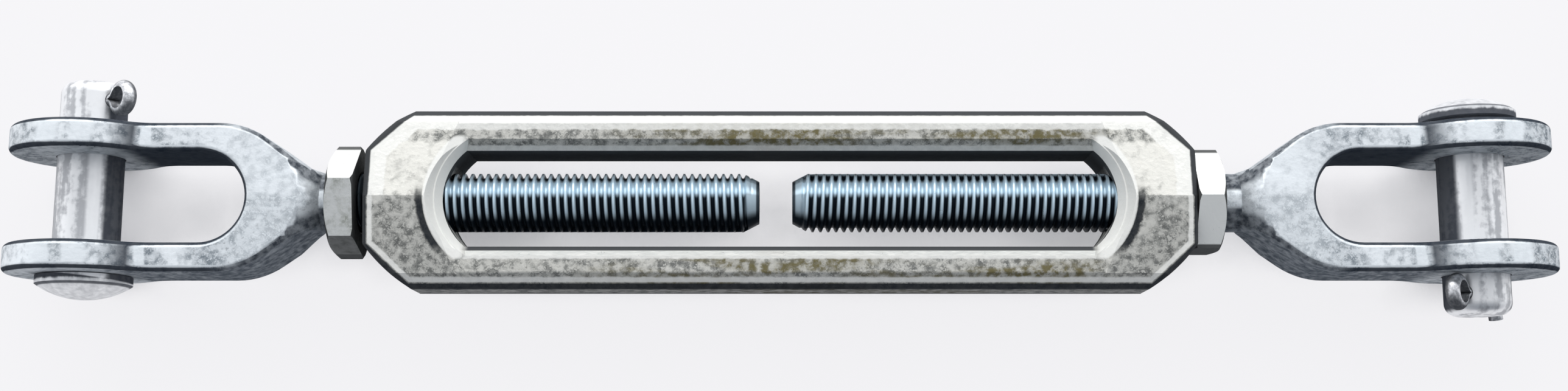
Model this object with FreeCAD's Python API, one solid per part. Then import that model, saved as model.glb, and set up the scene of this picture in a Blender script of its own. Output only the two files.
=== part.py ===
import FreeCAD, Part
import math
import os

# Frame turnbuckle with two pinned jaws, in millimetres.
# X runs along the screws, Y along the clevis pins and Z through the open side of the frame.
# The origin is the middle of the frame, on the axis of the screws.

# Screws: a 3/4 inch coarse thread, right-hand in the left end and left-hand in the right end
thread_diameter = 19.0
thread_pitch = 2.54
thread_depth_per_pitch = 0.6134
screw_clearance = 0.06
left_screw_tip = 6.8
right_screw_tip = 3.9
screw_point_length = 5.0
screw_point_bevel = 2.65

# Frame: one forging, two hubs joined by two reins
frame_length = 264.4
frame_width = 57.5
frame_depth = 26.0
hub_depth = 33.0
hub_length = 24.4
rein_width = 13.25
outer_bevel = 4.4
window_bevel = 3.3
window_end_bevel = 2.1
window_end_swell = 4.5
end_flat_width = 30.0
corner_length = 14.6
corner_bulge = 0.9
crown_land = 0.4
crown_run = 2.8
crown_hip = 10.0
frame_edge_radius = 1.6
bore_mouth_bevel = 1.2

# Lock nuts: thin hexagon nuts, chamfered on the side of the jaw
nut_across_flats = 31.75
nut_thickness = 8.9
nut_chamfer_angle = 30.0
nut_back_bevel = 0.5
nut_back_bevel_width = 1.0
left_nut_gap = 3.2
right_nut_gap = 0.1
left_nut_turn = 43.0
right_nut_turn = 0.0

# Jaws: fork and screw in one forging
neck_stand_off = 15.3
neck_to_crotch = 22.5
neck_to_pin = 77.0
jaw_gap = 29.2
arm_thickness = 9.3
eye_radius = 25.0
fork_half_depth = 15.0
eye_hollow_radius = 12.0
neck_cone_angle = 45.0
neck_cone_length = 30.0
flare_angle = 35.0
flare_radius = 26.0
flare_foot_radius = 8.0
jaw_edge_radius = 2.0
pin_hole_clearance = 0.3

# Clevis pins: domed head at one end, cross hole for the split pin at the other
pin_diameter = 20.8
pin_head_diameter = 30.0
pin_head_rim = 2.6
pin_head_height = 7.4
pin_end_round = 4.0
pin_end_margin = 6.6
pin_play = 3.2
pin_seat_clearance = 0.3

# Split pins: half-round wire, folded into an eye
split_wire_radius = 2.3
split_leg_gap = 0.1
split_eye_inner_radius = 3.6
split_neck_radius = 3.0
split_hole_clearance = 0.2
split_bend_stand_off = 0.6
split_bend_radius = 2.7
split_bend_angle = 75.0
split_bent_leg = 5.0
split_short_leg = 3.4
left_split_turn = 38.0
right_split_turn = 48.0

# Worked out from the sizes above
screw_radius = thread_diameter / 2
bore_radius = screw_radius + screw_clearance
thread_depth = thread_depth_per_pitch * thread_pitch
half_length = frame_length / 2
half_width = frame_width / 2
half_depth = frame_depth / 2
window_half_length = half_length - hub_length
window_half_width = half_width - rein_width
window_end_radius = window_half_width + window_end_swell
neck_x = half_length + neck_stand_off
pin_centre_x = neck_x + neck_to_pin
ear_face = jaw_gap / 2 + arm_thickness
pin_radius = pin_diameter / 2
pin_hole_radius = pin_radius + pin_hole_clearance
split_eye_radius = split_eye_inner_radius + split_wire_radius
split_drop = 2 * ear_face + split_eye_radius + pin_play
pin_length = split_drop + pin_end_margin

beyond_all = 2 * eye_radius
near_enough = 0.01

origin = FreeCAD.Vector(0, 0, 0)
along_x = FreeCAD.Vector(1, 0, 0)
along_y = FreeCAD.Vector(0, 1, 0)
along_z = FreeCAD.Vector(0, 0, 1)


def flat(x, y, z=0.0):
    return FreeCAD.Vector(x, y, z)


def upright(x, z):
    return FreeCAD.Vector(x, 0, z)


def arc(start, middle, end):
    return Part.Arc(start, middle, end).toShape()


def bulged(start, end, bulge):
    """Arc from start to end that stands out by bulge to the right of the way it runs, seen from +Z."""
    chord = end - start
    out = FreeCAD.Vector(chord.y, -chord.x, 0).normalize()
    return arc(start, (start + end) * 0.5 + out * bulge, end)


def closed_face(edges):
    return Part.Face(Part.Wire(Part.__sortEdges__(edges)))


def polygon_face(points):
    return Part.Face(Part.makePolygon(points + [points[0]]))


def disc(radius, centre, facing):
    return Part.Face(Part.Wire(Part.makeCircle(radius, centre, facing)))


def half_turned(shape):
    """The same shape at the other end of the turnbuckle, turned half round about Z."""
    turned = shape.copy()
    turned.rotate(origin, along_z, 180)
    return turned


def frame_outline():
    """Front outline of the frame: flat ends, bulged corners and straight sides, as one face."""
    flat_y = end_flat_width / 2
    corner_x = half_length - corner_length
    right = bulged(flat(half_length, flat_y), flat(corner_x, half_width), corner_bulge)
    corners = [right]
    corners.append(right.mirror(origin, along_x))
    corners += [corner.mirror(origin, along_y) for corner in corners]
    lines = []
    for side in (1, -1):
        lines.append(Part.makeLine(flat(-corner_x, side * half_width), flat(corner_x, side * half_width)))
        lines.append(Part.makeLine(flat(side * half_length, -flat_y), flat(side * half_length, flat_y)))
    return closed_face(corners + lines)


def frame_section():
    """Solid of the frame's cross-section along X: a bevelled slab with a low crown over each hub."""
    y = half_width
    z = half_depth
    b = outer_bevel
    points = [flat(0, y, z - b), flat(0, y - b, z), flat(0, b - y, z), flat(0, -y, z - b)]
    points += [flat(0, p.y, -p.z) for p in reversed(points)]
    slab = polygon_face(points).extrude(along_x * frame_length)
    slab.translate(along_x * -half_length)
    inner = window_half_length - crown_hip / 2
    reach = half_width - outer_bevel
    crown = Part.makeWedge(inner, 0, -reach, 0, inner + crown_hip,
                           half_length, (hub_depth - frame_depth) / 2, reach, 0, half_length)
    crown.rotate(origin, along_x, 90)
    crown.translate(along_z * half_depth)
    below = crown.mirror(origin, along_z)
    crowns = [crown, below, half_turned(crown), half_turned(below)]
    return slab.fuse(crowns).removeSplitter()


def window_wire(side, end, z):
    """Outline of the open window at height z, grown outwards by side at the sides and end at the ends."""
    half = window_half_width + side
    radius = window_end_radius + end
    centre_x = window_half_length - window_end_radius
    corner_x = centre_x + math.sqrt(radius ** 2 - half ** 2)
    end_x = centre_x + radius
    right = arc(flat(corner_x, -half, z), flat(end_x, 0, z), flat(corner_x, half, z))
    left = arc(flat(-corner_x, half, z), flat(-end_x, 0, z), flat(-corner_x, -half, z))
    upper = Part.makeLine(flat(corner_x, half, z), flat(-corner_x, half, z))
    lower = Part.makeLine(flat(-corner_x, -half, z), flat(corner_x, -half, z))
    return Part.Wire([right, upper, left, lower])


def window_cutter():
    """Everything that the window takes out: the opening, its bevelled rim and the step to the crowns."""
    top = hub_depth / 2 + 1
    through = Part.Face(window_wire(0, 0, -top)).extrude(along_z * 2 * top)
    rim = Part.makeLoft([window_wire(0, 0, half_depth - window_bevel),
                         window_wire(window_bevel, window_end_bevel, half_depth)], True, True)
    side_land = window_bevel + crown_land
    end_land = window_end_bevel + crown_land
    step = Part.makeLoft([window_wire(side_land, end_land, half_depth),
                          window_wire(side_land + crown_run, end_land + crown_run, top)], True, True)
    pieces = [rim, step, rim.mirror(origin, along_z), step.mirror(origin, along_z)]
    return through.fuse(pieces)


def screw_bore(radius, length, bevel):
    """Bore along X from the origin to length, with a bevelled mouth at the far end."""
    bore = Part.makeCylinder(radius, length, origin, along_x)
    mouth = Part.makeCone(radius, radius + 2 * bevel, 2 * bevel, along_x * (length - bevel), along_x)
    return bore.fuse(mouth)


def soft_edges(shape, radius, wanted):
    """Rounds the edges that wanted picks."""
    return shape.makeFillet(radius, [edge for edge in shape.Edges if wanted(edge)])


def is_outer_frame_edge(edge):
    """The long edges of the reins, and every edge round the two ends but the crowns' own."""
    length = edge.BoundBox.XLength
    round_end = abs(edge.CenterOfMass.x) > half_length - corner_length + near_enough
    return length > frame_length / 2 or (round_end and length <= corner_length)


def frame():
    """The forged frame: outline and section together, less the window and the two screw bores."""
    top = hub_depth / 2
    plate = frame_outline()
    plate.translate(along_z * -top)
    blank = plate.extrude(along_z * hub_depth).common(frame_section()).removeSplitter()
    blank = soft_edges(blank, frame_edge_radius, is_outer_frame_edge)
    bore = screw_bore(bore_radius, half_length, bore_mouth_bevel)
    return blank.cut([window_cutter(), bore, half_turned(bore)]).removeSplitter()


def lock_nut(gap, turn):
    """Hexagon lock nut on the right-hand screw, gap away from the frame and turned about its axis."""
    corner_radius = nut_across_flats / math.sqrt(3)
    flat_radius = nut_across_flats / 2
    back = half_length + gap
    front = back + nut_thickness
    corners = []
    for step in range(6):
        angle = math.radians(60 * step + turn)
        corners.append(flat(back, corner_radius * math.sin(angle), corner_radius * math.cos(angle)))
    hexagon = polygon_face(corners).extrude(along_x * nut_thickness)
    slope = math.tan(math.radians(nut_chamfer_angle))
    chamfer = (corner_radius - flat_radius) * slope
    profile = [flat(back, 0), flat(back, corner_radius - nut_back_bevel_width),
               flat(back + nut_back_bevel, corner_radius), flat(front - chamfer, corner_radius),
               flat(front, flat_radius), flat(front, 0)]
    turned_blank = polygon_face(profile).revolve(origin, along_x, 360)
    nut = hexagon.common(turned_blank)
    bore = Part.makeCylinder(bore_radius, nut_thickness, along_x * back, along_x)
    bevel = thread_depth / 2
    mouths = [Part.makeCone(bore_radius + bevel, bore_radius, bevel, along_x * back, along_x),
              Part.makeCone(bore_radius, bore_radius + bevel, bevel, along_x * (front - bevel), along_x)]
    return nut.cut([bore] + mouths)


def fork_flank(side):
    """One flank seen along Z, from the neck at the origin to the arm: hollow arc, slope, round shoulder."""
    angle = math.radians(flare_angle)
    foot = flare_foot_radius
    shoulder = flare_radius
    rise = ear_face - screw_radius - (foot + shoulder) * (1 - math.cos(angle))
    slope_start = flat(foot * math.sin(angle), screw_radius + foot * (1 - math.cos(angle)))
    slope_end = slope_start + flat(rise / math.tan(angle), rise)
    arm_start = flat(slope_end.x + shoulder * math.sin(angle), ear_face)
    foot_middle = flat(foot * math.sin(angle / 2), screw_radius + foot * (1 - math.cos(angle / 2)))
    shoulder_middle = arm_start - flat(shoulder * math.sin(angle / 2), shoulder * (1 - math.cos(angle / 2)))
    points = [flat(0, screw_radius), foot_middle, slope_start, slope_end, shoulder_middle, arm_start]
    points = [flat(p.x, side * p.y) for p in points]
    return [arc(points[0], points[1], points[2]), Part.makeLine(points[2], points[3]),
            arc(points[3], points[4], points[5])], points[5]


def fork_outline():
    """Outline of the fork seen along Z: neck, sloping flanks, two arms and the round crotch."""
    inner = jaw_gap / 2
    crotch_centre = neck_to_crotch + inner
    past_eye = neck_to_pin + beyond_all
    edges = []
    for side in (1, -1):
        flank, arm_start = fork_flank(side)
        edges += flank
        edges.append(Part.makeLine(arm_start, flat(past_eye, side * ear_face)))
        edges.append(Part.makeLine(flat(past_eye, side * ear_face), flat(past_eye, side * inner)))
        edges.append(Part.makeLine(flat(past_eye, side * inner), flat(crotch_centre, side * inner)))
    edges.append(arc(flat(crotch_centre, inner), flat(neck_to_crotch, 0), flat(crotch_centre, -inner)))
    edges.append(Part.makeLine(flat(0, -screw_radius), flat(0, screw_radius)))
    return closed_face(edges)


def fork_side():
    """Outline of the fork seen along Y: flat sides, a hollow at each side of the eye, and the round eye."""
    lift = fork_half_depth + eye_hollow_radius
    hollow_x = neck_to_pin - math.sqrt((eye_radius + eye_hollow_radius) ** 2 - lift ** 2)
    swing = math.atan2(neck_to_pin - hollow_x, lift)
    hollow = [upright(hollow_x + eye_hollow_radius * math.sin(turn),
                      lift - eye_hollow_radius * math.cos(turn)) for turn in (0, swing / 2, swing)]
    touch = hollow[2]
    upper = [Part.makeLine(upright(0, fork_half_depth), hollow[0]), arc(*hollow)]
    lower = [edge.mirror(origin, along_z) for edge in upper]
    eye = arc(touch, upright(neck_to_pin + eye_radius, 0), upright(touch.x, -touch.z))
    neck = Part.makeLine(upright(0, -fork_half_depth), upright(0, fork_half_depth))
    return closed_face(upper + lower + [eye, neck])


def runs_along_fork(edge):
    """The long edges of the fork, and not those that cross it."""
    return edge.BoundBox.XLength > near_enough


def through(face, direction):
    """The face drawn out both ways, far enough to pass any piece."""
    drawn = face.copy()
    drawn.translate(direction * -beyond_all)
    return drawn.extrude(direction * 2 * beyond_all)


def neck_turning():
    """What the turned neck leaves of the fork: a cone that opens from the screw, and all beyond it."""
    far_radius = screw_radius + neck_cone_length * math.tan(math.radians(neck_cone_angle))
    cone = Part.makeCone(screw_radius, far_radius, neck_cone_length, origin, along_x)
    rest = Part.makeCylinder(far_radius, neck_to_pin, along_x * neck_cone_length, along_x)
    return cone.fuse(rest)


def fork():
    """The fork: what front outline, side outline and turned neck share, with its long edges rounded."""
    blank = through(fork_outline(), along_z).common(through(fork_side(), along_y)).removeSplitter()
    return soft_edges(blank, jaw_edge_radius, runs_along_fork).common(neck_turning()).removeSplitter()


def jaw(screw_tip):
    """One jaw: fork, neck and screw, with the pin hole through both ears and its tip screw_tip from X 0."""
    screw_length = neck_x - screw_tip
    plain = screw_length - screw_point_length
    point = Part.makeCone(screw_radius - screw_point_bevel, screw_radius,
                          screw_point_length, along_x * -screw_length, along_x)
    shank = Part.makeCylinder(screw_radius, plain + flare_foot_radius, along_x * -plain, along_x)
    hole = through(disc(pin_hole_radius, flat(neck_to_pin, 0), along_y), along_y)
    body = fork().fuse([point, shank]).removeSplitter().cut(hole)
    body.translate(along_x * neck_x)
    return body


def clevis_pin(shift, split_turn):
    """Clevis pin of the right jaw, head up, with its head shift away from the upper ear."""
    rim = pin_head_diameter / 2
    rise = pin_head_height - pin_head_rim
    dome_radius = (rim ** 2 + rise ** 2) / (2 * rise)
    swing = math.asin(rim / dome_radius) / 2
    dome = arc(flat(rim, pin_head_rim),
               flat(dome_radius * math.sin(swing), pin_head_height - dome_radius * (1 - math.cos(swing))),
               flat(0, pin_head_height))
    r = pin_end_round
    corner = arc(flat(pin_radius, r - pin_length),
                 flat(pin_radius - r + r * math.sqrt(0.5), r - pin_length - r * math.sqrt(0.5)),
                 flat(pin_radius - r, -pin_length))
    edges = [dome, Part.makeLine(flat(rim, pin_head_rim), flat(rim, 0)),
             Part.makeLine(flat(rim, 0), flat(pin_radius, 0)),
             Part.makeLine(flat(pin_radius, 0), flat(pin_radius, r - pin_length)),
             corner, Part.makeLine(flat(pin_radius - r, -pin_length), flat(0, -pin_length)),
             Part.makeLine(flat(0, -pin_length), flat(0, pin_head_height))]
    pin = closed_face(edges).revolve(origin, along_y, 360)
    hole = through(disc(split_wire_radius + split_hole_clearance, flat(0, -split_drop), along_x), along_x)
    hole.rotate(origin, along_y, split_turn)
    pin = pin.cut(hole)
    pin.translate(flat(pin_centre_x, ear_face + shift))
    return pin


def split_path():
    """Centre line of the folded wire's flat side, eye at -X and tips at +X, as one wire."""
    half_gap = split_leg_gap / 2
    ring = split_eye_inner_radius
    blend = split_neck_radius
    neck = math.sqrt((ring + blend) ** 2 - (half_gap + blend) ** 2)
    eye_x = -pin_radius - neck
    join = ring / (ring + blend)
    touch = flat(eye_x + neck * join, (half_gap + blend) * join)
    lean = math.atan2(half_gap + blend, neck)
    middle = (math.pi / 2 + lean) / 2
    blend_middle = flat(eye_x + neck - blend * math.sin(middle), half_gap + blend - blend * math.cos(middle))
    bend_x = pin_radius + split_bend_stand_off
    bend = math.radians(split_bend_angle)
    turn = split_bend_radius
    bend_end = flat(bend_x + turn * math.sin(bend), half_gap + turn * (1 - math.cos(bend)))
    tip = bend_end + flat(math.cos(bend), math.sin(bend)) * split_bent_leg
    edges = [Part.makeLine(tip, bend_end)]
    edges.append(arc(bend_end, flat(bend_x + turn * math.sin(bend / 2),
                                    half_gap + turn * (1 - math.cos(bend / 2))), flat(bend_x, half_gap)))
    edges.append(Part.makeLine(flat(bend_x, half_gap), flat(-pin_radius, half_gap)))
    edges.append(arc(flat(-pin_radius, half_gap), blend_middle, touch))
    edges.append(arc(touch, flat(eye_x - ring, 0), flat(touch.x, -touch.y)))
    edges.append(arc(flat(touch.x, -touch.y), flat(blend_middle.x, -blend_middle.y),
                     flat(-pin_radius, -half_gap)))
    edges.append(Part.makeLine(flat(-pin_radius, -half_gap), flat(pin_radius + split_short_leg, -half_gap)))
    return Part.Wire(edges), tip, flat(math.cos(bend), math.sin(bend))


def split_pin(shift, turn):
    """Split pin through the end of the right-hand clevis pin: long leg bent over, short leg straight."""
    spine, tip, heading = split_path()
    across = FreeCAD.Vector(-heading.y, heading.x, 0)
    r = split_wire_radius
    bow = arc(tip + along_z * r, tip + across * r, tip - along_z * r)
    profile = Part.Wire([bow, Part.makeLine(tip - along_z * r, tip + along_z * r)])
    sweep = Part.BRepOffsetAPI.MakePipeShell(spine)
    sweep.setBiNormalMode(along_z)
    sweep.add(profile, False, False)
    sweep.build()
    sweep.makeSolid()
    folded = Part.Solid(sweep.shape())
    folded.rotate(origin, along_x, 180)
    folded.rotate(origin, along_y, turn)
    folded.translate(flat(pin_centre_x, ear_face + shift - split_drop))
    return folded


left_shift = pin_seat_clearance
right_shift = pin_play - pin_seat_clearance

nodes = {
    "turnbuckle_frame": frame(),
    "left_lock_nut": half_turned(lock_nut(left_nut_gap, left_nut_turn)),
    "right_lock_nut": lock_nut(right_nut_gap, right_nut_turn),
    "left_jaw": half_turned(jaw(left_screw_tip)),
    "right_jaw": jaw(right_screw_tip),
    "left_clevis_pin": half_turned(clevis_pin(left_shift, left_split_turn)),
    "right_clevis_pin": clevis_pin(right_shift, right_split_turn),
    "left_split_pin": half_turned(split_pin(left_shift, left_split_turn)),
    "right_split_pin": split_pin(right_shift, right_split_turn),
}

os.makedirs("parts", exist_ok=True)
for name, shape in nodes.items():
    shape.exportStep(f"parts/{name}.step")
    print(name, len(shape.Solids), "solid", shape.isValid(), round(shape.Volume), "mm3")
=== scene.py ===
import bpy
import bmesh
from math import cos, radians, sin, tau
from mathutils import Matrix, Vector


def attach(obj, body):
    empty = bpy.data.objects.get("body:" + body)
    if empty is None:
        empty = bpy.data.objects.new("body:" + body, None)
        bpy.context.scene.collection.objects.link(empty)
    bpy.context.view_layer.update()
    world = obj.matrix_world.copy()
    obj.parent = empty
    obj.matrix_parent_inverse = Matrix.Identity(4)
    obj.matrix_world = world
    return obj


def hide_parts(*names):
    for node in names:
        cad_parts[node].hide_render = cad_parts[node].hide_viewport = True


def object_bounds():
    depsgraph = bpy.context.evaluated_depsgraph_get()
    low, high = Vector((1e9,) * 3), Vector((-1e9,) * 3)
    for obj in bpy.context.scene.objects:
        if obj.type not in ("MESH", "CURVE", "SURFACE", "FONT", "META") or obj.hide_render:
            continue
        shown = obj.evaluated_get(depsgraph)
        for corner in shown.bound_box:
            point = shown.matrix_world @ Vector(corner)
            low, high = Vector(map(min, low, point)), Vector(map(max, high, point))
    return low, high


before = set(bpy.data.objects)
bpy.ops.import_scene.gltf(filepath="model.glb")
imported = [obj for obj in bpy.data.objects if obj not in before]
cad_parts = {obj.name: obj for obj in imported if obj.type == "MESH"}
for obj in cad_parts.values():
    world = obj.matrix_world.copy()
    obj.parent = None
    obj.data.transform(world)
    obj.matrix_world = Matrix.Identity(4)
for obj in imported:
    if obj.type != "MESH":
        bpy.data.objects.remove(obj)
cad_low, cad_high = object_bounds()

# The frame: one steel forging, two hubs joined by two reins, dipped whole in molten zinc.
# The zinc lies creamy where it ran thick and grey and mottled where it drained thin, with painted light on
# faces to +Y and painted shade on faces to -Y.

MM = 0.001


class Channel:
    """One output of a finish, with sums and products that add the nodes they need."""

    def __init__(self, nodes, socket):
        self.nodes = nodes
        self.socket = socket

    def maths(self, operation, *values):
        """The outcome of one sum on channels and numbers."""
        return self.nodes.add("Math", {"operation": operation}, dict(enumerate(values)))

    def __add__(self, other):
        return self.maths("ADD", self, other)

    __radd__ = __add__

    def __sub__(self, other):
        return self.maths("SUBTRACT", self, other)

    def __rsub__(self, other):
        return self.maths("SUBTRACT", other, self)

    def __mul__(self, other):
        return self.maths("MULTIPLY", self, other)

    __rmul__ = __mul__

    def __truediv__(self, other):
        return self.maths("DIVIDE", self, other)

    def rise(self, low, high):
        """0 below low, 1 above high, and a soft step between them."""
        return self.nodes.add("MapRange", {"interpolation_type": "SMOOTHSTEP"},
                              {"Value": self, "From Min": low, "From Max": high}, "Result")

    def fall(self, low, high):
        """1 below low, 0 above high, and a soft step between them."""
        return 1.0 - self.rise(low, high)

    def size(self):
        """The same without its sign."""
        return self.maths("ABSOLUTE", self)

    def root(self):
        """Its square root."""
        return self.maths("SQRT", self)

    def most(self, other):
        """The greater of two."""
        return self.maths("MAXIMUM", self, other)

    def least(self, other):
        """The lesser of two."""
        return self.maths("MINIMUM", self, other)


class Nodes:
    """The nodes of a material or world, begun empty."""

    def __init__(self, owner):
        owner.use_nodes = True
        self.nodes = owner.node_tree.nodes
        self.links = owner.node_tree.links
        self.nodes.clear()

    def parts(self, vector):
        """The X, Y and Z of a vector."""
        split = self.add("SeparateXYZ", {}, {0: vector}, None)
        return {axis: Channel(self, split.outputs[axis]) for axis in "XYZ"}

    def add(self, kind, settings, inputs, output=0):
        """A node with its settings, then its sockets' values or links. Gives the named output."""
        node = self.nodes.new("ShaderNode" + kind)
        for name, value in settings.items():
            setattr(node, name, value)
        for name, value in inputs.items():
            if isinstance(value, Channel):
                self.links.new(value.socket, node.inputs[name])
            else:
                node.inputs[name].default_value = value
        return node if output is None else Channel(self, node.outputs[output])

    def blend(self, share, under, over):
        """The colour under, with a share of the colour over."""
        pair = {6: under, 7: over}
        for name, colour in pair.items():
            if isinstance(colour, tuple):
                pair[name] = (*colour, 1.0)
        return self.add("Mix", {"data_type": "RGBA"}, {0: share, **pair}, 2)


class Finish(Nodes):
    """A finish under way: a material, its nodes, and places measured in millimetres on the piece."""

    def __init__(self, name):
        self.material = bpy.data.materials.new(name)
        super().__init__(self.material)
        place = self.add("TexCoord", {}, {}, "Object")
        self.place = self.add("VectorMath", {"operation": "SCALE"}, {0: place, "Scale": 1 / MM}, "Vector")
        self.facing = self.parts(self.add("TexCoord", {}, {}, "Normal"))
        self.at = self.parts(self.place)

    def stretched(self, x, y, z):
        """Places on the piece, stretched so that marks run along one way."""
        return self.add("VectorMath", {"operation": "MULTIPLY"}, {0: self.place, 1: (x, y, z)}, "Vector")

    def cloud(self, width, detail=3.0, roughness=0.55, place=None):
        """Soft random patches about width millimetres across, from 0 to 1."""
        return self.add("TexNoise", {"normalize": True},
                        {"Vector": place or self.place, "Scale": 1 / width, "Detail": detail,
                         "Roughness": roughness})

    def crystals(self, width):
        """A tone for each zinc crystal about width millimetres across."""
        tone = self.add("TexVoronoi", {"feature": "F1"}, {"Vector": self.place, "Scale": 1 / width}, "Color")
        return self.parts(tone)["X"]

    def steepness(self, low, high):
        """0 on faces that lie flat, 1 on the upright sides of the piece."""
        return self.facing["Z"].size().fall(low, high)

    def bump(self, height, depth):
        """Relief of a height channel, depth millimetres from its lowest to its highest."""
        return self.add("Bump", {}, {"Height": height, "Distance": depth * MM, "Strength": 1.0}, "Normal")

    def close(self, **sockets):
        """The surface's shader and the material's output."""
        values = {name.replace("_", " "): value for name, value in sockets.items()}
        surface = self.add("BsdfPrincipled", {}, values, "BSDF")
        self.add("OutputMaterial", {}, {"Surface": surface}, None)
        return self.material


def dipped(name, light, dark, shade, drained):
    """Hot-dip zinc on steel as a tone and a relief with small painted glints, before stains, painted
    highlights and painted shade.

    drained(zinc) gives how far the zinc has run off, where 0.5 is half; for the frame, jaws and nuts it also
    carries painted shade, and for the frame painted light too.
    """
    zinc = Finish(name)
    patches = zinc.cloud(13.0, 2.0)
    zinc.mottle = zinc.cloud(2.3, 4.0, 0.62)
    freckle = zinc.cloud(1.15, 2.0, 0.5)
    grains = zinc.crystals(0.9)
    zinc.drained = (patches * 0.8 + (zinc.mottle - 0.5) * 0.7 + drained(zinc) - 0.4).rise(0.26, 0.72)
    blobs = (zinc.mottle + (grains - 0.5) * 0.16).rise(0.40, 0.62)
    zinc.tone = zinc.blend(zinc.drained * (0.34 + blobs * 0.66), light, dark)
    # Painted glints: small spots of the light tone where the zinc drained.
    painted_glint = (freckle + (grains - 0.5) * 0.2).rise(0.55, 0.68) * zinc.drained * 0.60
    zinc.tone = zinc.blend(painted_glint, zinc.tone, light)
    pits = freckle.fall(0.30, 0.43) * zinc.drained * 0.50
    zinc.tone = zinc.blend(pits, zinc.tone, shade)
    zinc.relief = zinc.cloud(5.0, 2.0) * 0.5 + zinc.mottle * 0.35 + freckle * 0.15
    return zinc


def coated(zinc, shade, shade_and_grime, metal, depth):
    """Closes a zinc finish: matt and dark by its share of painted shade, with some grime, and bright
    elsewhere.
    """
    return zinc.close(Base_Color=zinc.blend(shade_and_grime, zinc.tone, shade), Metallic=(1.0 - shade_and_grime) * metal,
                      Specular_IOR_Level=0.0,
                      Roughness=0.31 + zinc.drained * 0.14 + (zinc.mottle - 0.5) * 0.2 + shade_and_grime * 0.3,
                      Normal=zinc.bump(zinc.relief, depth))


def give(name, material):
    """Puts a material on a piece that keeps its own mesh."""
    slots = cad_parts[name].data.materials
    slots.clear()
    slots.append(material)


CREAMY_ZINC = (0.84, 0.83, 0.77)
# Grey drained zinc, also used for painted shade.
DRAINED_AND_SHADED_ZINC = (0.19, 0.195, 0.185)
PITTED_ZINC = (0.04, 0.042, 0.045)
# Painted highlight colour.
PAINTED_HIGHLIGHT = (0.92, 0.92, 0.88)
OLIVE_STAIN = (0.17, 0.148, 0.07)
# Painted shade colours: the upright sides, with some grime, and the darkest lines.
GRIMY_SHADED_SIDE = (0.11, 0.115, 0.12)
DEEP_PAINTED_SHADE = (0.018, 0.022, 0.028)

# Places in millimetres from the frame's middle. A pair is where a mark begins to fade and where it ends.
HALF_LENGTH = 132.2
HALF_WIDTH = 28.75
CORNER_START = 117.6
END_FLAT = 15.0
HUB_START = (90.0, 108.0)
REIN_EDGE = (14.0, 16.0)
STRIP_NEAR = (17.0, 18.5)
STRIP_FAR = (22.5, 23.5)
STRIP_END = (122.0, 127.0)
STAIN_START = (-95.0, -10.0)
STAIN_END = (92.0, 112.0)
NEAR_HIGHLIGHT = (19.4, 20.2)
RIM_LINE = (16.7, 17.3)
CORNER_LINE = (108.0, 118.0)
WINDOW_LINE = (16.8, 17.2)
WINDOW_SIDE = (16.0, 17.0)
SIDE_LINE = (4.8, 6.0)

# The painted highlight ring round each arched end of the window: its centre, its start and its outer radius.
ARCH_CENTRE = 87.8
ARCH_START = 100.4
RING_RADIUS = 25.3
RING_END = (19.0, 20.5)

# Widths in millimetres inwards from the outline.
FAR_HIGHLIGHT = (6.6, 7.3)
OUTLINE = (1.9, 2.5)
EDGE_LINE_START = (1.6, 2.0)
EDGE_LINE_END = (3.0, 3.6)


def frame_drained_and_shaded(zinc):
    """Most on the flats of the reins; painted shade adds to it on slopes to -Y and the -Y half of each hub,
    and painted light takes from it on faces to +Y and to the ends.
    """
    hub = zinc.at["X"].size().rise(*HUB_START)
    ragged = zinc.cloud(3.5, 3.0, 0.6) - 0.5
    # Painted shade on the -Y half of each hub and on slopes to -Y, and painted light on faces to +Y and to
    # the ends.
    lower = (zinc.at["Y"] + ragged * 14.0).fall(-2.5, 3.5)
    upward = zinc.facing["Y"].rise(0.25, 0.60) + zinc.facing["X"].size().rise(0.25, 0.60)
    downward = (zinc.facing["Y"] * -1.0).rise(0.25, 0.60)
    strip = zinc.at["Y"].rise(*STRIP_NEAR) * zinc.at["Y"].fall(*STRIP_FAR)
    strip = strip * zinc.at["X"].size().fall(*STRIP_END)
    rein = (1.0 - hub) * (0.20 + zinc.at["Y"].rise(*REIN_EDGE) * 0.12)
    return 0.52 + rein + hub * (lower * 0.34 - 0.20 + strip * 0.36) - upward * 0.50 + downward * 0.10


def inside_outline(zinc):
    """Millimetres inwards from the frame's outline, seen from its front or back."""
    beyond_x = HALF_LENGTH - zinc.at["X"].size()
    beyond_y = HALF_WIDTH - zinc.at["Y"].size()
    run = HALF_LENGTH - CORNER_START
    rise = HALF_WIDTH - END_FLAT
    slant = (run * run + rise * rise) ** 0.5
    corner = beyond_x * (rise / slant) + (beyond_y - rise) * (run / slant) + 0.5
    return beyond_x.least(beyond_y).least(corner)


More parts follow.
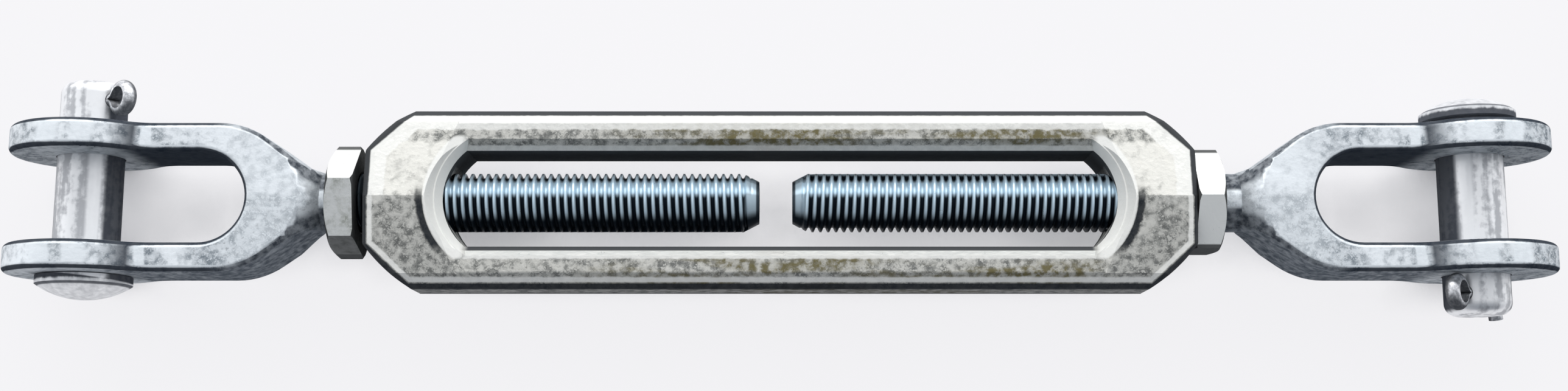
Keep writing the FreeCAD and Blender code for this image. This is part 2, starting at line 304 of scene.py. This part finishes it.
def frame_finish():
    """Creamy zinc with olive stains along the reins, painted highlights along edges and round the window's
    ends, and painted shade along the edges, in the window and on the sides.
    """
    zinc = dipped("galvanised_frame", CREAMY_ZINC, DRAINED_AND_SHADED_ZINC, PITTED_ZINC, frame_drained_and_shaded)
    along = zinc.at["X"]
    reach = along.size()
    off_middle = zinc.at["Y"].size()
    inwards = inside_outline(zinc)
    wavy = (zinc.cloud(3.2, 3.0, 0.6) - 0.5) * 2.0
    near_side = zinc.at["Y"].fall(-0.5, 0.5)
    far_side = 1.0 - near_side
    downward = zinc.facing["Y"] * -1.0

    streaks = zinc.cloud(1.0, 3.0, 0.5, zinc.stretched(0.022, 0.16, 0.12)).rise(0.40, 0.58)
    stained = streaks * along.rise(*STAIN_START) * along.fall(*STAIN_END) * zinc.drained
    stained = stained * (0.25 + zinc.mottle.rise(0.38, 0.62) * 0.70)
    zinc.tone = zinc.blend(stained, zinc.tone, OLIVE_STAIN)

    # Painted highlights: a ring round each arched end of the window, bands along the far outline and the near
    # rein's window edge, a thin line along the far rein's window edge, and a line inside the outline at the
    # corners and on faces to -Y; the ring and that line are also less metallic.
    beyond = reach - ARCH_CENTRE
    from_arch = (beyond * beyond + off_middle * off_middle).root()
    past_arch = reach.rise(ARCH_START - 1.5, ARCH_START + 1.5)
    beside = 1.0 - past_arch
    ring = past_arch * from_arch.fall(RING_RADIUS - 0.5, RING_RADIUS + 0.3) * off_middle.fall(*RING_END)
    far_highlight = far_side * (inwards + wavy).fall(*FAR_HIGHLIGHT)
    near_highlight = near_side * beside * (off_middle + wavy * 0.6).fall(*NEAR_HIGHLIGHT)
    rim_line = far_side * beside * (off_middle + wavy * 0.4).fall(*RIM_LINE)
    edge_line = inwards.rise(*EDGE_LINE_START) * (inwards + wavy * 0.4).fall(*EDGE_LINE_END)
    edge_line = edge_line * reach.rise(*CORNER_LINE).most(downward.rise(0.3, 0.6))
    bright = (ring * 0.95).most(rim_line * 0.75).most(edge_line * 0.80)
    bright = bright.most(far_highlight * 0.75).most(near_highlight * 0.85)
    zinc.tone = zinc.blend(bright, zinc.tone, PAINTED_HIGHLIGHT)

    # Painted shade: a crescent outside the lower half of each ring, a line along the near rein's window edge
    # and a line along the outline.
    crescent = reach.rise(ARCH_CENTRE, ARCH_START) * from_arch.rise(RING_RADIUS - 0.1, RING_RADIUS + 0.2)
    crescent = crescent * (from_arch + zinc.mottle * 2.0).fall(RING_RADIUS + 2.8, RING_RADIUS + 3.8)
    crescent = crescent * zinc.at["Y"].fall(-2.0, 5.0) * off_middle.fall(15.0, 20.0)
    window_line = near_side * beside * off_middle.fall(*WINDOW_LINE)
    outline = (inwards + zinc.mottle * 0.4 + near_side * 0.5).fall(*OUTLINE)
    line = window_line.most(outline).most(crescent) * 0.95 * zinc.facing["Z"].size().rise(0.15, 0.35)

    # Painted shade on the upright sides, more on faces to -Y and deepest on the window's walls, with dark
    # lines near their edges, mixed with random grime.
    in_window = off_middle.fall(*WINDOW_SIDE)
    near_face = downward.rise(0.3, 0.8)
    side_grime_and_shade = 0.10 + zinc.mottle * 0.4 + near_face * 0.26 + near_face * in_window
    side_line = (zinc.at["Z"].size() + wavy * 0.5).rise(*SIDE_LINE) * 0.93
    sides = zinc.steepness(0.34, 0.60) * side_grime_and_shade.most(side_line).least(0.95)
    shade = zinc.blend(line.most(in_window).most(side_line), GRIMY_SHADED_SIDE, DEEP_PAINTED_SHADE)
    return coated(zinc, shade, sides.most(line), 0.60 - ring.most(edge_line) * 0.50, 0.22)


give("turnbuckle_frame", frame_finish())

# The jaws: fork, neck and screw are one steel forging each, with the thread cut along the whole screw.
# The left screw is right-hand and the right one left-hand, so that turning the frame draws both in.

BLUISH_ZINC = (0.90, 0.945, 0.975)
# Grey drained zinc, also used for painted shade.
DRAINED_AND_SHADED_JAW = (0.21, 0.245, 0.275)
PITTED_JAW = (0.03, 0.04, 0.05)
# Painted highlight colour for the fillets, which also gives the neck a lighter tone.
BRIGHT_EDGE = (0.88, 0.93, 0.96)
# The thread's painted shade in the roots and its painted highlight on the crests.
THREAD_ROOT = (0.010, 0.015, 0.022)
THREAD_CREST = (0.68, 0.85, 0.96)
# The fork's painted shade, mixed with some grime, and its darkest painted shade.
GRIMY_SHADED_FORK = (0.088, 0.104, 0.126)
DEEP_SHADE_FORK = (0.018, 0.025, 0.038)

# The screw in millimetres, and one turn of its thread: share of the turn and share of the depth.
PITCH = 2.54
CREST = 9.5
THREAD_DEPTH = 1.5
POINT = 5.0
POINT_RADIUS = 6.85
LEFT_TIP = 6.8
RIGHT_TIP = 3.9
RUN_OUT = 141.5
NECK = 147.5
THREAD_FORM = ((0.0, 1.0), (0.22, 1.0), (0.36, 0.50), (0.48, 0.06), (0.60, 0.0), (0.72, 0.06), (0.86, 0.55))

# Marks on the screw, in millimetres from its axis and from the middle between the two tips.
CREST_EDGE = (8.35, 9.25)
BETWEEN_TIPS = -1.45
TIP_END = (6.0, 6.6)
POINT_END = (9.5, 10.4)

# Marks along the jaw, in millimetres from the frame's middle, and half the gap of its fork.
GAP_SHADOW_START = (129.5, 131.5)
GAP_SHADOW_END = (137.0, 139.0)
THREAD_END = (141.0, 142.0)
NECK_END = (165.5, 181.5)
CROTCH = (166.0, 169.0)
ROOT_END = (172.0, 190.0)
EAR_START = (204.0, 214.0)
RIGHT_EYE = (222.0, 232.0)
HALF_GAP = 15.5


def jaw_drained_and_shaded(zinc):
    """Most on the right eyes; painted shade makes it most also on the -Y half between the crotch and the
    neck.
    """
    # Painted shade: more of the drained tone on the -Y half between the crotch and the neck.
    root = zinc.at["X"].size().fall(*ROOT_END) * zinc.at["Y"].fall(-5.0, 4.0)
    return 0.48 + zinc.at["X"].rise(*RIGHT_EYE) * 0.42 + root * 0.46


def cut_thread(zinc, reach):
    """Painted shade in the roots under bright crests, a painted highlight band along the upper side, painted
    shade to -Y, a painted shadow beside the nut and a painted dark end at the tip.
    """
    past_tip = (zinc.at["X"] - BETWEEN_TIPS).size()
    height = (zinc.at["Y"] * zinc.at["Y"] + zinc.at["Z"] * zinc.at["Z"]).root()
    crest = height.rise(*CREST_EDGE).most(past_tip.fall(*POINT_END) * 0.8)
    around = zinc.at["Y"] / height
    # Painted light and shade: bright crests and a bright band along the upper side, dark roots, a dark side
    # to -Y and a darker top edge, a painted shadow beside the nut and a dark tip.
    lit = around.rise(-0.76, -0.40) * (1.0 - around.rise(0.75, 0.95) * 0.6)
    highlight_band = around.rise(0.02, 0.30) * around.fall(0.66, 0.86)
    nut_gap_shadow = reach.rise(*GAP_SHADOW_START) * reach.fall(*GAP_SHADOW_END)
    dark = nut_gap_shadow.most(past_tip.fall(*TIP_END))
    shine = (highlight_band * (0.80 + crest * 0.18)).most(crest * crest * lit * 0.90) * (1.0 - dark * 0.92)
    return zinc.blend(shine, THREAD_ROOT, THREAD_CREST)


def jaw_finish():
    """Bluish zinc with painted highlights along the fillets, painted shade lines at the edges, and painted
    shade on the side to -Y and inside the fork, mixed with some grime.
    """
    zinc = dipped("galvanised_jaw", BLUISH_ZINC, DRAINED_AND_SHADED_JAW, PITTED_JAW, jaw_drained_and_shaded)
    reach = zinc.at["X"].size()
    threaded = reach.fall(*THREAD_END)
    neck = reach.fall(*NECK_END)
    ear = reach.rise(*EAR_START)
    flatness = zinc.facing["Z"].size()
    sideways = zinc.facing["Y"].size()

    # Painted highlight along the fillets, where faces turn a little from flat; the neck gets a lighter tone
    # of the same colour.
    fillet_highlight = flatness.rise(0.92, 0.95) * flatness.fall(0.994, 0.9995) * (1.0 - neck)
    zinc.tone = zinc.blend((fillet_highlight * 0.85).most(neck * 0.45), zinc.tone, BRIGHT_EDGE)
    zinc.tone = zinc.blend(threaded, zinc.tone, cut_thread(zinc, reach))
    zinc.relief = zinc.relief * (1.0 - threaded * 0.9)
    zinc.drained = zinc.drained * (1.0 - threaded)

    # Painted shade: dark lines where faces turn away from flat along the outlines and in the fork's gap, and
    # a mottled dark band on the neck's flanks.
    in_gap = zinc.at["Y"].size().fall(HALF_GAP, HALF_GAP + 2.0) * reach.rise(*CROTCH)
    edge = flatness.rise(0.06, 0.30) * flatness.fall(0.84, 0.94) * in_gap.most(1.0 - neck)
    edge = edge * sideways.rise(0.20, 0.40).most(flatness.fall(0.34, 0.50)).most(1.0 - ear)
    neck_line = sideways.rise(0.22, 0.38) * flatness.rise(0.2, 0.4) * neck
    edge = edge.most(neck_line * (0.35 + zinc.mottle)).least(1.0)

    # Painted shade on faces to -Y, less on the ears and deepest inside the fork on its +Y half, and on
    # upright sides, mixed with random grime.
    far_inner = zinc.at["Y"].rise(-2.0, 2.0) * zinc.at["Y"].fall(HALF_GAP - 0.5, HALF_GAP + 1.0)
    near_face = (zinc.facing["Y"] * -1.0).rise(0.30, 0.75) * (1.0 - ear * 0.60)
    dull_and_shaded = (edge * 0.94).most(near_face * (0.28 + zinc.mottle + far_inner * 0.40).least(0.96))
    dull_and_shaded = dull_and_shaded.most(zinc.steepness(0.30, 0.60) * (0.15 + zinc.mottle * 0.4))
    shade = zinc.blend(edge.most(far_inner * 0.8), GRIMY_SHADED_FORK, DEEP_SHADE_FORK)
    return coated(zinc, shade, dull_and_shaded * (1.0 - threaded), 0.46, 0.20)


def screw_mesh(tip, hand, around=80):
    """A screw along +X from its tip to inside the neck, as one helical strip."""
    turns = int((NECK - tip) / PITCH) + 3
    sheet = bmesh.new()
    rings = []
    for step in range(around):
        angle = tau * step / around
        ring = []
        for turn in range(turns):
            for share, height in THREAD_FORM:
                x = tip + (turn - 1 + share + step / around) * PITCH
                x = min(max(x, tip), NECK + 2.0)
                radius = CREST if x > RUN_OUT else CREST - THREAD_DEPTH * (1 - height)
                radius = min(radius, POINT_RADIUS + (x - tip) / POINT * (CREST - POINT_RADIUS))
                corner = (x, radius * cos(angle), hand * radius * sin(angle))
                ring.append(sheet.verts.new([size * MM for size in corner]))
        rings.append(ring)
    for step in range(around):
        here = rings[step]
        there = rings[(step + 1) % around]
        shift = len(THREAD_FORM) if step == around - 1 else 0
        for row in range(len(here) - 1 - shift):
            corners = [here[row + shift], here[row + shift + 1], there[row + 1], there[row]]
            sheet.faces.new(corners if hand < 0 else corners[::-1])
    bmesh.ops.remove_doubles(sheet, verts=sheet.verts, dist=0.004 * MM)
    bmesh.ops.holes_fill(sheet, edges=[e for e in sheet.edges if e.is_boundary
                                       and all(v.co.x < (tip + 0.01) * MM for v in e.verts)])
    bmesh.ops.recalc_face_normals(sheet, faces=sheet.faces)
    return sheet


def forged_jaw(side, tip, hand):
    """The jaw's forging without its plain screw, and the threaded screw in its place."""
    body = bmesh.new()
    body.from_mesh(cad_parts[side + "_jaw"].data)
    bmesh.ops.remove_doubles(body, verts=body.verts, dist=0.002 * MM)
    plain = [v for v in body.verts if abs(v.co.x) < (NECK - 0.5) * MM]
    bmesh.ops.delete(body, geom=plain, context="VERTS")
    fork = bpy.data.meshes.new(side + "_fork")
    body.to_mesh(fork)
    body.free()
    screw = screw_mesh(tip, hand)
    if side == "left":
        bmesh.ops.rotate(screw, verts=screw.verts, cent=(0, 0, 0), matrix=Matrix.Rotation(tau / 2, 3, "Z"))
    screw.from_mesh(fork)
    mesh = bpy.data.meshes.new(side + "_jaw_forging")
    screw.to_mesh(mesh)
    screw.free()
    mesh.shade_smooth()
    mesh.set_sharp_from_angle(angle=radians(28))
    piece = bpy.data.objects.new(side + "_jaw_forging", mesh)
    bpy.context.scene.collection.objects.link(piece)
    mesh.materials.append(jaw_zinc)
    even = piece.modifiers.new("even_shading", "WEIGHTED_NORMAL")
    even.keep_sharp = True
    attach(piece, side + "_fork")
    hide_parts(side + "_jaw")


jaw_zinc = jaw_finish()
forged_jaw("left", LEFT_TIP, 1)
forged_jaw("right", RIGHT_TIP, -1)

# The lock nuts: thin hexagon nuts of steel, faced on both sides and then dipped in zinc.
# They jam against the hubs to keep the frame from working loose.

NUT_ZINC = (0.96, 0.97, 0.94)
# Grey drained zinc, also used for painted shade.
DRAINED_AND_SHADED_NUT = (0.36, 0.38, 0.33)
PITTED_NUT = (0.05, 0.05, 0.05)
# Painted shade colour.
NUT_PAINTED_SHADE = (0.030, 0.032, 0.034)


def nut_finish(side, metal, grey, rim):
    """Smooth zinc with painted shade: darker by the share grey on facets not facing +Y, and dark on the
    upright facets, the end faces and past rim millimetres out.
    """
    # Painted shade: the share grey darkens facets that do not face +Y.
    zinc = dipped(side + "_nut_zinc", NUT_ZINC, DRAINED_AND_SHADED_NUT, PITTED_NUT,
                  lambda nut: 0.18 + nut.facing["Y"].fall(0.1, 0.5) * grey)
    # Painted shade on the upright facets, on the faces to either end and past the rim.
    dull_and_shaded = (zinc.steepness(0.30, 0.55) * 0.80).most(zinc.facing["X"].size().rise(0.5, 0.8) * 0.95)
    dull_and_shaded = dull_and_shaded.most(zinc.at["Y"].size().rise(rim, rim + 0.5) * 0.90)
    return coated(zinc, NUT_PAINTED_SHADE, dull_and_shaded, metal, 0.12)


give("left_lock_nut", nut_finish("left", 0.85, 0.24, 16.3))
give("right_lock_nut", nut_finish("right", 0.25, 0.0, 14.5))

# The clevis pins: drawn bar with an upset domed head, zinc coated.
# Each goes through both eyes of its jaw and is held by a split pin. Drawing left fine streaks on it.

DULL_BAR = (0.50, 0.51, 0.53)
PALE_BAR = (0.93, 0.94, 0.95)
# A painted highlight colour and a painted shade colour.
PIN_HIGHLIGHT = (0.95, 0.96, 0.97)
PIN_SHADE = (0.028, 0.034, 0.048)

# Sizes in millimetres from the frame's middle. The right pin is drawn up, so its head is further out.
PIN_CENTRE = 224.5
HEAD_START = 24.8
DRAWN_UP = 2.9
DOME_EDGE = (13.6, 14.2)
HEAD_GAP_SHADE = (1.1, 1.9)


def drawn_bar():
    """Streaks along the shank with a painted highlight band, painted shade on its sides and towards the
    crotch, and a painted shade rim round the head.
    """
    bar = Finish("zinc_pin")
    beside = bar.at["Y"].size()
    endways = bar.facing["Y"].size()
    streaks = bar.cloud(3.0, 2.0, 0.5, bar.stretched(1.0, 0.10, 1.0))
    bar.mottle = bar.cloud(2.2, 3.0)
    bar.relief = streaks * 0.5 + bar.mottle * 0.5

    # The heads lie to -Y on the left and to +Y on the right, so there X times Y is above zero.
    head = (bar.at["X"] * bar.at["Y"] * (1 / PIN_CENTRE)).rise(HEAD_START - 0.5, HEAD_START)
    on_shank = 1.0 - head
    pale = (streaks + (bar.mottle - 0.5) * 0.6).rise(0.36, 0.64) * on_shank + head * (bar.mottle * 1.8 - 0.30)
    bar.drained = 1.0 - pale
    inner = bar.facing["X"] * bar.at["X"] * (-1 / PIN_CENTRE)
    # Painted highlight: a bright band on the shank where it faces part way towards the frame's middle.
    run = inner.rise(0.22, 0.36) * inner.fall(0.58, 0.66) * on_shank
    bar.tone = bar.blend(run * 0.90, bar.blend(pale, DULL_BAR, PALE_BAR), PIN_HIGHLIGHT)

    # Painted shade rim round the head: where it meets the ear and at the dome's edge.
    start = HEAD_START + bar.at["X"].rise(-1.0, 1.0) * DRAWN_UP
    head_gap_shade = (beside + bar.mottle * 1.2 - start).fall(*HEAD_GAP_SHADE)
    off_axis = bar.at["X"].size() - PIN_CENTRE
    off_axis = (off_axis * off_axis + bar.at["Z"] * bar.at["Z"]).root()
    rim = head_gap_shade.most(off_axis.rise(*DOME_EDGE) * endways.rise(0.2, 0.4) * 0.85)
    # Painted shade on the shank's upright sides, deepest where they face the frame's middle.
    sides = inner.rise(0.64, 0.76).most(bar.steepness(0.30, 0.60)) * endways.fall(0.4, 0.8)
    return coated(bar, PIN_SHADE, (sides * on_shank + rim * head) * 0.90, 0.70, 0.06)


pin_zinc = drawn_bar()
for side in ("left", "right"):
    give(side + "_clevis_pin", pin_zinc)

# The split pins: half-round zinc coated wire, folded flat side to flat side into an eye.
# They go through the cross holes of the clevis pins, and their legs are bent over.

DULL_WIRE = (0.45, 0.46, 0.48)
PALE_WIRE = (0.88, 0.89, 0.91)
# Painted shade colour.
WIRE_SHADE = (0.02, 0.023, 0.03)


def bent_wire():
    """Fine grain on the wire, with painted shade on its sides and on what faces -Y."""
    wire = Finish("zinc_wire")
    wire.mottle = wire.relief = wire.cloud(1.2, 3.0, 0.6)
    wire.drained = wire.mottle * 0.3
    wire.tone = wire.blend(wire.mottle.rise(0.35, 0.65), DULL_WIRE, PALE_WIRE)
    # Painted shade on the wire's upright sides and on what faces -Y.
    dull_and_shaded = (wire.steepness(0.35, 0.70) * 0.80).most(wire.facing["Y"].fall(-0.55, 0.05) * 0.85)
    return coated(wire, WIRE_SHADE, dull_and_shaded, 0.80, 0.04)


wire_zinc = bent_wire()
for side in ("left", "right"):
    give(side + "_split_pin", wire_zinc)

# The studio: a plain floor of pale matt paper that the round eyes of both jaws lie on.
# It is wide enough to fill the view, and lies a hair below the eyes.

FLOOR_REACH = 1.6
FLOOR_DROP = 0.05 * MM
PAPER = (0.86, 0.855, 0.875, 1.0)
PAPER_SEEN = (0.935, 0.93, 0.95, 1.0)

floor_mesh = bpy.data.meshes.new("floor")
floor_sheet = bmesh.new()
bmesh.ops.create_grid(floor_sheet, x_segments=4, y_segments=4, size=FLOOR_REACH)
bmesh.ops.translate(floor_sheet, verts=floor_sheet.verts, vec=(0, 0, cad_low.z - FLOOR_DROP))
floor_sheet.to_mesh(floor_mesh)
floor_sheet.free()
floor = bpy.data.objects.new("floor", floor_mesh)
bpy.context.scene.collection.objects.link(floor)


def pale_paper():
    """Matt paper that seen straight or in metal is paler than its shadows would leave it."""
    material = bpy.data.materials.new("pale_floor")
    paper = Nodes(material)
    matt = paper.add("BsdfDiffuse", {}, {"Color": PAPER}, "BSDF")
    glow = paper.add("Emission", {}, {"Color": PAPER_SEEN, "Strength": 1.0}, "Emission")
    ray = paper.add("LightPath", {}, {}, None)
    seen = Channel(paper, ray.outputs["Is Camera Ray"])
    for kind in ("Is Glossy Ray", "Is Transmission Ray"):
        seen = seen.most(Channel(paper, ray.outputs[kind]))
    openness = paper.add("AmbientOcclusion", {"samples": 8}, {"Distance": 0.035}, "AO")
    glowing = seen * (0.10 + openness.rise(0.22, 0.50) * 0.80)
    both = paper.add("MixShader", {}, {"Fac": glowing, 1: matt, 2: glow}, "Shader")
    paper.add("OutputMaterial", {}, {"Surface": both}, None)
    return material


floor_mesh.materials.append(pale_paper())

# Light: one wide soft box on the far side of the object, above it and turned towards its middle.
# The room around is bright on that side and at both ends, and dim on the near side.

BOX_PLACE = Vector((0.0, 1.55, 0.85))
BOX_WIDTH = 3.4
BOX_HEIGHT = 1.1
BOX_WATTS = 24
DIM_ROOM = (0.20, 0.22, 0.25)
BRIGHT_ROOM = (1.12, 1.13, 1.16)

lamp = bpy.data.lights.new("far_soft_box", "AREA")
lamp.shape = "RECTANGLE"
lamp.size = BOX_WIDTH
lamp.size_y = BOX_HEIGHT
lamp.energy = BOX_WATTS
soft_box = bpy.data.objects.new("far_soft_box", lamp)
soft_box.location = BOX_PLACE
soft_box.rotation_mode = "QUATERNION"
soft_box.rotation_quaternion = (Vector((0.0, 0.0, 0.0)) - BOX_PLACE).to_track_quat("-Z", "Y")
bpy.context.scene.collection.objects.link(soft_box)

world = bpy.data.worlds.new("room")
room = Nodes(world)
way = room.parts(room.add("TexCoord", {}, {}, "Generated"))
share = way["Y"].rise(-0.70, 0.75) + way["X"].size().rise(0.55, 1.0) * 0.35
walls = room.add("Background", {}, {"Color": room.blend(share.least(1.0), DIM_ROOM, BRIGHT_ROOM),
                                    "Strength": 1.0}, "Background")
room.add("OutputWorld", {}, {"Surface": walls}, None)
bpy.context.scene.world = world

# The camera: almost straight above the object, tilted a little towards the near side.
# It stands close, which gives the strong perspective of the photograph.

REACH = 0.583
TILT = radians(9.0)
AIM_X = 0.0012
AIM_Y = 0.0025

lens = bpy.data.cameras.new("camera")
lens.sensor_width = 36.0
lens.lens = 41.2
camera = bpy.data.objects.new("camera", lens)
camera.location = (AIM_X, AIM_Y - REACH * sin(TILT), REACH * cos(TILT))
camera.rotation_euler = (TILT, 0.0, 0.0)
bpy.context.scene.collection.objects.link(camera)
bpy.context.scene.camera = camera
bpy.context.scene.view_settings.view_transform = "Standard"
